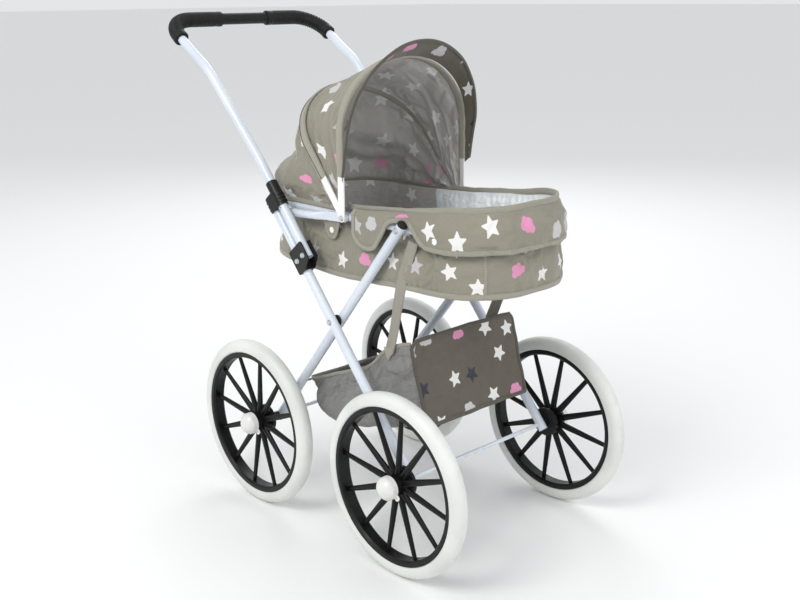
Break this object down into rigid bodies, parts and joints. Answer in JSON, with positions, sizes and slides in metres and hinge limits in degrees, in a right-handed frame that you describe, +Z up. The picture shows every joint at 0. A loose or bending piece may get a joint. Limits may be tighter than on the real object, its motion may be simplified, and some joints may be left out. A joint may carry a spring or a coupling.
{
  "type": "doll pram",
  "caption": "Folding doll pram: white tube X-frame, oval cloth carrycot with fold-back hood, hanging tray, U handle on a folding joint and large spoked wheels.",
  "frame": {"origin": "on the ground, under the middle of the pram's box", "axes": "+X towards the toe, the way the pram is pushed; +Y to the doll's left; +Z up"},
  "size_m": [0.68, 0.39, 0.74],
  "materials": {
    "painted_tube": "gloss white enamel",
    "black_plastic": "satin moulded black",
    "foam": "ribbed foam",
    "steel": "zinc plated",
    "tyre": "white foam rubber",
    "wheel_plastic": "moulded black",
    "white_plastic": "moulded white",
    "printed_cloth": "woven polyester, printed with stars and clouds",
    "mesh_cloth": "knitted net",
    "webbing": "woven tape",
    "board": "stiffener board"
  },
  "bodies": {
    "front_frame": {"front_leg_right": "painted_tube", "front_leg_left": "painted_tube", "front_axle": "steel", "front_axle_spacers": "black_plastic", "front_push_nuts": "steel", "handle_bracket_right": "black_plastic", "handle_bracket_left": "black_plastic", "bracket_rivets": "steel", "handle_pivot_rivets": "steel", "cross_rivets": "steel", "cross_spacers": "black_plastic"},
    "rear_frame": {"rear_leg_right": "painted_tube", "rear_leg_left": "painted_tube", "rear_axle": "steel", "rear_axle_spacers": "black_plastic", "rear_push_nuts": "steel", "rear_leg_plugs": "black_plastic", "tray_rod": "steel", "carrycot_rivets": "steel", "tray": "mesh_cloth"},
    "carrycot": {"carrycot_ring": "painted_tube", "tub": "printed_cloth", "base_board": "board", "skirt_front": "printed_cloth", "skirt_rear": "printed_cloth", "skirt_snaps": "white_plastic", "hood_rear": "printed_cloth", "hood_rivets": "steel", "tray_strap_right": "webbing", "tray_strap_left": "webbing"},
    "struts": {"strut_right": "painted_tube", "strut_left": "painted_tube", "strut_plugs": "black_plastic"},
    "middle_bow": {"hood_bow_middle": "white_plastic", "hood_front": "printed_cloth"},
    "front_bow": {"hood_bow_front": "white_plastic", "hood_visor": "printed_cloth"},
    "handle": {"handle_tube": "painted_tube", "grip_right": "foam", "grip_left": "foam", "grip_sleeve": "foam", "collar_stop_pins": "steel"},
    "collar_right": {"lock_collar_right": "black_plastic"},
    "collar_left": {"lock_collar_left": "black_plastic"},
    "front_wheel_right": {"front_wheel_core_right": "wheel_plastic", "front_tyre_right": "tyre", "front_hub_cap_right": "white_plastic"},
    "front_wheel_left": {"front_wheel_core_left": "wheel_plastic", "front_tyre_left": "tyre", "front_hub_cap_left": "white_plastic"},
    "rear_wheel_right": {"rear_wheel_core_right": "wheel_plastic", "rear_tyre_right": "tyre", "rear_hub_cap_right": "white_plastic"},
    "rear_wheel_left": {"rear_wheel_core_left": "wheel_plastic", "rear_tyre_left": "tyre", "rear_hub_cap_left": "white_plastic"}
  },
  "joints": [
    {"name": "frame_fold", "type": "hinge", "parent": "front_frame", "child": "rear_frame", "pos_m": [0.05083, 0, 0.31835], "axis": [0, -1, 0], "range_deg": [0, 14.5]},
    {"name": "carrycot_tilt", "type": "hinge", "parent": "rear_frame", "child": "carrycot", "pos_m": [0.1729, 0, 0.46709], "axis": [0, -1, 0], "range_deg": [-39.3, 0], "deforming": ["tray_strap_right", "tray_strap_left"]},
    {"name": "strut_fold", "type": "hinge", "parent": "carrycot", "child": "struts", "pos_m": [0.0555, 0, 0.466], "axis": [0, -1, 0], "range_deg": [0, 63.5]},
    {"name": "hood_fold", "type": "hinge", "parent": "carrycot", "child": "middle_bow", "pos_m": [0.0555, 0, 0.466], "axis": [0, -1, 0], "range_deg": [0, 32]},
    {"name": "hood_front_fold", "type": "hinge", "parent": "middle_bow", "child": "front_bow", "pos_m": [0.0555, 0, 0.466], "axis": [0, -1, 0], "range_deg": [0, 32]},
    {"name": "handle_fold", "type": "hinge", "parent": "front_frame", "child": "handle", "pos_m": [-0.00228, 0, 0.40754], "axis": [0, 1, 0], "range_deg": [0, 160]},
    {"name": "collar_right_slide", "type": "slide", "parent": "handle", "child": "collar_right", "axis": [-0.6455, 0, 0.7638], "range_m": [0, 0.03]},
    {"name": "collar_left_slide", "type": "slide", "parent": "handle", "child": "collar_left", "axis": [-0.6455, 0, 0.7638], "range_m": [0, 0.03]},
    {"name": "front_wheel_right_spin", "type": "hinge", "parent": "front_frame", "child": "front_wheel_right", "pos_m": [0.21, -0.1674, 0.13], "axis": [0, 1, 0], "continuous": true},
    {"name": "front_wheel_left_spin", "type": "hinge", "parent": "front_frame", "child": "front_wheel_left", "pos_m": [0.21, 0.1674, 0.13], "axis": [0, 1, 0], "continuous": true},
    {"name": "rear_wheel_right_spin", "type": "hinge", "parent": "rear_frame", "child": "rear_wheel_right", "pos_m": [-0.1033, -0.1674, 0.13], "axis": [0, 1, 0], "continuous": true},
    {"name": "rear_wheel_left_spin", "type": "hinge", "parent": "rear_frame", "child": "rear_wheel_left", "pos_m": [-0.1033, 0.1674, 0.13], "axis": [0, 1, 0], "continuous": true}
  ],
  "couplings": [
    {"joint": "carrycot_tilt", "follows": "frame_fold", "ratio": -2.7055},
    {"joint": "strut_fold", "follows": "frame_fold", "ratio": 4.3724},
    {"joint": "hood_front_fold", "follows": "hood_fold", "ratio": 1}
  ]
}
